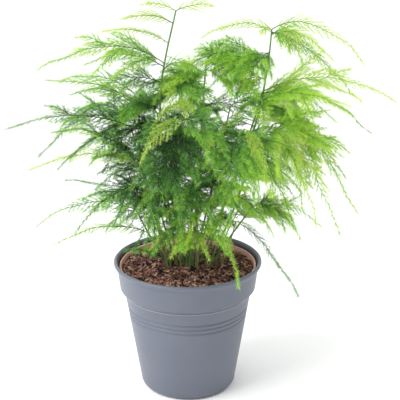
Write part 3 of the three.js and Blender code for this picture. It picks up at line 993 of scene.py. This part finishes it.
def growBoughs(strands, chance, start, crest, tip, longest, tone):
    # Smaller plumes that fork off a long frond, left and right in turn.
    length = (tip - start).length
    facing = Vector(growth["light"]).normalized()
    first = chance.choice((-1, 1))
    for i, share in enumerate(growth["forks"]):
        root = arched(start, crest, tip, share)
        along = (arched(start, crest, tip, share + 0.02) - root).normalized()
        side = along.cross(facing).normalized() * (first if i % 2 else -first)
        size = length * (0.62 - 0.4 * share) * chance.uniform(0.8, 1.15) * (1 - 0.55 * max(0, side.z))
        angle = math.radians(growth["forkAngle"] + chance.uniform(-9, 9))
        way = along * math.cos(angle) + side * math.sin(angle)
        top = root + way * size * 0.5 + up * size * chance.uniform(0.02, 0.12)
        end = root + way * size - up * size * chance.uniform(0.02, 0.22)
        forkTone = tone + chance.uniform(-0.04, 0.1)
        growFrond(strands, chance, root, top, inRoom(end), longest * 0.5, forkTone, 0.08)


def makeTuft():
    # A few needles that spread from one point about +Z: closed three-sided spikes about one unit long.
    chance = random.Random(growth["seed"])
    vertices = []
    faces = []
    places = []
    half = growth["needleWidth"] / growth["needleLength"] / 2
    for i in range(growth["needlesInTuft"]):
        turn = 2 * math.pi * (i + chance.uniform(-0.2, 0.2)) / growth["needlesInTuft"]
        spread = math.radians(chance.uniform(36, 64))
        out = Vector((math.cos(turn), math.sin(turn), 0))
        cross = Vector((-math.sin(turn), math.cos(turn), 0))
        way = out * math.sin(spread) + up * math.cos(spread)
        normal = cross.cross(way)
        first = len(vertices)
        for j in range(3):
            angle = 2 * math.pi * j / 3
            vertices.append(way * 0.04 + (cross * math.cos(angle) + normal * math.sin(angle)) * half)
            places.append((0.05, 0.5 + 0.01 * (j - 1)))
        vertices.append(way * chance.uniform(0.75, 1.1))
        places.append((0.85, 0.5))
        faces.append((first + 2, first + 1, first))
        for j in range(3):
            faces.append((first + j, first + (j + 1) % 3, first + 3))
    mesh = bpy.data.meshes.new("tuft")
    mesh.from_pydata(vertices, [], faces)
    faceOutwards(mesh)
    layer = mesh.uv_layers.new(name=leafMap)
    for loop in mesh.loops:
        layer.data[loop.index].uv = places[loop.vertex_index]
    return newPiece("tuft", mesh)


def named(graph, label, kind="FLOAT"):
    return graph.add("GeometryNodeInputNamedAttribute", {"data_type": kind}, {"Name": label})


def store(graph, geometry, label, value, kind, domain):
    sockets = {"Geometry": geometry, "Name": label, "Value": value}
    return graph.add("GeometryNodeStoreNamedAttribute", {"data_type": kind, "domain": domain}, sockets)


def makeLeafTree():
    # Sweeps every strand into a twig and sets tufts of needles along it.
    inputs = [("Tuft", "NodeSocketObject"), ("Tuft gap", "NodeSocketFloat"),
              ("Needle length", "NodeSocketFloat"), ("Twig sides", "NodeSocketInt"),
              ("Seed", "NodeSocketInt"), ("Material", "NodeSocketMaterial")]
    tree, graph, given = newTree("growLeaves", inputs)
    curves = graph.add("GeometryNodeMeshToCurve", None, {"Mesh": given["Geometry"]})
    sockets = {"Resolution": given["Twig sides"], "Radius": 1}
    circle = graph.add("GeometryNodeCurvePrimitiveCircle", None, sockets)
    around = graph.add("GeometryNodeInputIndex") * 0.006 + 0.95
    circle = store(graph, circle, "around", around, "FLOAT", "POINT")
    sockets = {"Curve": curves, "Profile Curve": circle, "Scale": named(graph, "thick"), "Fill Caps": True}
    twigs = graph.add("GeometryNodeCurveToMesh", None, sockets)
    place = graph.add("ShaderNodeCombineXYZ", None, {0: named(graph, "around"), 1: named(graph, "tone")})
    twigs = store(graph, twigs, leafMap, place, "FLOAT2", "CORNER")

    sockets = {"Curve": curves, "Length": given["Tuft gap"]}
    spots = graph.add("GeometryNodeCurveToPoints", {"mode": "LENGTH"}, sockets)
    tangent = Wire(graph, spots.socket.node.outputs["Tangent"])
    lean = graph.add("FunctionNodeAlignRotationToVector", {"axis": "Z"}, {"Vector": tangent})
    spin = graph.add("ShaderNodeCombineXYZ", None, {2: graph.chance(0.0, 6.283, given["Seed"])})
    spin = graph.add("FunctionNodeEulerToRotation", None, {0: spin})
    sockets = {"Rotation": lean, "Rotate By": spin}
    lean = graph.add("FunctionNodeRotateRotation", {"rotation_space": "LOCAL"}, sockets)
    size = graph.chance(0.7, 1.15, given["Seed"]) * named(graph, "needle") * given["Needle length"]
    leafy = graph.above(named(graph, "needle"), 0.22)
    needle = graph.add("GeometryNodeObjectInfo", None, {"Object": given["Tuft"]}, out="Geometry")
    sockets = {"Points": spots, "Selection": leafy, "Instance": needle, "Rotation": lean, "Scale": size}
    needles = graph.add("GeometryNodeInstanceOnPoints", None, sockets)
    fade = graph.chance(-0.05, 0.05, given["Seed"])
    needles = store(graph, needles, "tone", named(graph, "tone") + fade, "FLOAT", "INSTANCE")
    needles = graph.add("GeometryNodeRealizeInstances", None, {"Geometry": needles})
    own = named(graph, leafMap, "FLOAT_VECTOR")
    tone = named(graph, "tone") + (graph.part(own, 1) - 0.5)
    place = graph.add("ShaderNodeCombineXYZ", None, {0: graph.part(own, 0), 1: tone})
    needles = store(graph, needles, leafMap, place, "FLOAT2", "CORNER")

    both = graph.add("GeometryNodeJoinGeometry", None, {"Geometry": twigs})
    graph.tree.links.new(needles.socket, both.socket.node.inputs["Geometry"])
    finishTree(graph, both, given["Material"])
    return tree


def paintLeaves(graph, shader):
    place = graph.add("ShaderNodeUVMap", {"uv_map": leafMap})
    along = graph.part(place, 0)
    tone = graph.part(place, 1)
    leaf = graph.ramp(tone, (0.0, tint(10, 38, 26)), (0.2, tint(38, 92, 50)), (0.42, tint(108, 176, 78)),
                      (0.64, tint(158, 216, 76)), (0.85, tint(190, 234, 78)), (1.0, tint(214, 240, 118)))
    bark = graph.ramp(tone, (0.0, tint(34, 56, 32)), (0.5, tint(72, 100, 46)), (1.0, tint(138, 152, 76)))
    isTwig = graph.add("ShaderNodeMath", {"operation": "GREATER_THAN"}, {0: along, 1: 0.92})
    streaks = graph.cloud(place, 34, flat=True)
    shade = graph.mixColour(0.25 * streaks, leaf, graph.mixColour(0.5, leaf, tint(20, 70, 30)))
    tipped = graph.mixColour(0.3 * along ** 2, shade, tint(196, 232, 96))
    colour = graph.mixColour(isTwig, tipped, bark)
    bump = graph.bump(streaks, 0.1, 0.2 * mm)
    feed(graph, shader, Base_Color=colour, Roughness=0.5 + 0.2 * streaks, Specular_IOR_Level=0.2, Normal=bump)


def growPiece(name, strands, material, sides, seed, slot, *nodes):
    # Strands whose needle size is 0 stay bare.
    piece = newPiece(name, strands.mesh(name))
    applyTree(piece, leafTree, {
        "Tuft": tuft, "Tuft gap": growth["tuftGap"] * mm, "Needle length": growth["needleLength"] * mm,
        "Twig sides": sides, "Seed": seed, "Material": material})
    attributes = piece.data.attributes
    for label in ("thick", "tone", "needle", "around"):
        if label in attributes:
            attributes.remove(attributes[label])
    piece.data.update()
    keepPiece(piece, slot, *nodes)
    return sum(len(face.vertices) - 2 for face in piece.data.polygons)


def paintStems(graph, shader):
    place = graph.add("ShaderNodeUVMap", {"uv_map": leafMap})
    fleck = graph.cloud(place, 60, 4, flat=True)
    bark = graph.ramp(graph.part(place, 1) + 0.12 * (fleck - 0.5), (0.0, tint(170, 150, 112)),
                      (0.12, tint(140, 156, 92)), (0.4, tint(98, 140, 74)), (1.0, tint(104, 148, 72)))
    colour = graph.mixColour(0.4 * fleck, bark, tint(52, 74, 44))
    bump = graph.bump(fleck, 0.2, 0.3 * mm)
    feed(graph, shader, Base_Color=colour, Roughness=0.4 + 0.25 * fleck, Normal=bump)


def growStems(material):
    for name, spec in stems.items():
        points = stemPoints(spec)
        line = [curveAt(points, i / 48) for i in range(49)]
        strands = Strands()
        strands.add(line, (growth["stemFoot"], growth["stemTop"]), (0, 1), (0, 0))
        growPiece(camel(name) + "Stem", strands, material, 10, 1, "stem", name + "_stem")


def growThinShoots(material):
    # Young and dried shoots that stand among the stems.
    chance = random.Random(growth["seed"] + 5)
    strands = Strands()
    for _ in range(growth["thinShoots"]):
        turn = chance.uniform(0, 2 * math.pi)
        reach = math.sqrt(chance.random())
        wide, deep = growth["thinSpread"]
        foot = Vector((3 + wide * reach * math.cos(turn), 2 + deep * reach * math.sin(turn), 104))
        lean = foot.x * 0.5 + chance.uniform(-9, 9)
        top = foot + Vector((lean, chance.uniform(-8, 8), chance.uniform(*growth["thinLength"])))
        bow = foot.lerp(top, 0.5) + Vector((chance.uniform(-4, 4), chance.uniform(-4, 4), 4))
        line = [arched(foot, bow, top, i / 12) for i in range(13)]
        thick = chance.uniform(0.45, 0.85)
        tone = chance.choice((0, 0.1, 0.5, 0.9))
        strands.add(line, (thick, thick * 0.6), (tone, tone + 0.1), (0, 0))
    growPiece("thinShoots", strands, material, 6, 2, "stem")


def growFronds(material):
    total = 0
    for number, (name, row) in enumerate({**fronds, **shoots}.items()):
        stem, share, tip, arch, longest, leaf = row
        chance = random.Random(growth["seed"] + 31 * number)
        joint = curveAt(stemPoints(stems[stem]), share)
        tip = Vector(tip)
        crest = joint.lerp(tip, 0.45) + up * arch
        strands = Strands()
        tone = growth["tones"][leaf]
        growFrond(strands, chance, joint, crest, tip, longest, tone, 0.06, longest > growth["combPlume"])
        if leaf != "young" and longest > 20:
            growBoughs(strands, chance, joint, crest, tip, longest, tone)
        nodes = [name + "_frond"] if name in fronds else []
        faces = growPiece(camel(name) + "Frond", strands, material, 3, number + 1, "leaf_" + leaf, *nodes)
        total += faces
        print("grown", name, faces, "faces")
    print("fronds:", total, "faces")


def growSprays(material):
    # Short drooping shoots all round each stem make the dense middle of the plant.
    total = 0
    turn = 0
    for number, (name, row) in enumerate(sprays.items()):
        lowest, highest, size, droop, tone = row
        chance = random.Random(growth["seed"] + 97 * number)
        points = stemPoints(stems[name])
        strands = Strands()
        count = int((highest - lowest) / growth["sprayGap"]) + 1
        for i in range(count):
            root = stemAtHeight(points, lowest + (highest - lowest) * (i + chance.uniform(0, 0.8)) / count)
            turn += 2.4 + chance.uniform(-0.4, 0.4)
            out = Vector((math.cos(turn), math.sin(turn), 0))
            length = size * chance.uniform(0.7, 1.15)
            crest = root + out * length * 0.45 + up * length * 0.24
            tip = inRoom(root + out * length * 0.9 - up * length * droop * chance.uniform(0.2, 1.3))
            tip.z = max(tip.z, room["sprayFoot"] + chance.uniform(-6, 10))
            sprayTone = tone + chance.uniform(-0.1, 0.2)
            growFrond(strands, chance, root, crest, tip, length * 0.3, sprayTone, 0.12)
        faces = growPiece(camel(name) + "Sprays", strands, material, 3, number + 101, "leaf_green")
        total += faces
        print("grown", name, "sprays", faces, "faces")
    print("sprays:", total, "faces")


def camel(name):
    first, *rest = name.split("_")
    return first + "".join(word.title() for word in rest)


def growFibres(material):
    # Coir and root fibres that lie on the soil in loose arcs.
    chance = random.Random(soil["seed"])
    strands = Strands()
    for _ in range(soil["fibres"]):
        radius = soil["fibreReach"] * math.sqrt(chance.random())
        turn = chance.uniform(0, 2 * math.pi)
        root = Vector((radius * math.cos(turn), radius * math.sin(turn), 0))
        heading = chance.uniform(0, 2 * math.pi)
        bend = chance.uniform(-0.5, 0.5)
        step = chance.uniform(*soil["fibreLength"]) / 4
        line = []
        for k in range(5):
            rise = 0.5 + chance.uniform(-0.3, 0.7)
            line.append(Vector((root.x, root.y, crumbly(root.x, root.y) + rise)))
            root = root + Vector((math.cos(heading), math.sin(heading), 0)) * step
            if root.length > soil["fibreReach"] + 1:
                break
            heading += bend
        if len(line) > 2:
            thick = soil["fibreRadius"] * chance.uniform(0.5, 1.2)
            tone = chance.random()
            strands.add(line, (thick, thick * 0.6), (tone, tone), (0, 0))
    growPiece("soilFibres", strands, material, 4, 1, "soil")


tuft = makeTuft()
leafTree = makeLeafTree()
growFibres(newMaterial("coir", paintFibres))
bark = newMaterial("stemBark", paintStems)
growStems(bark)
growThinShoots(bark)
leaves = newMaterial("fernLeaves", paintLeaves)
growFronds(leaves)
growSprays(leaves)
bpy.data.objects.remove(tuft)
print("fern grown")
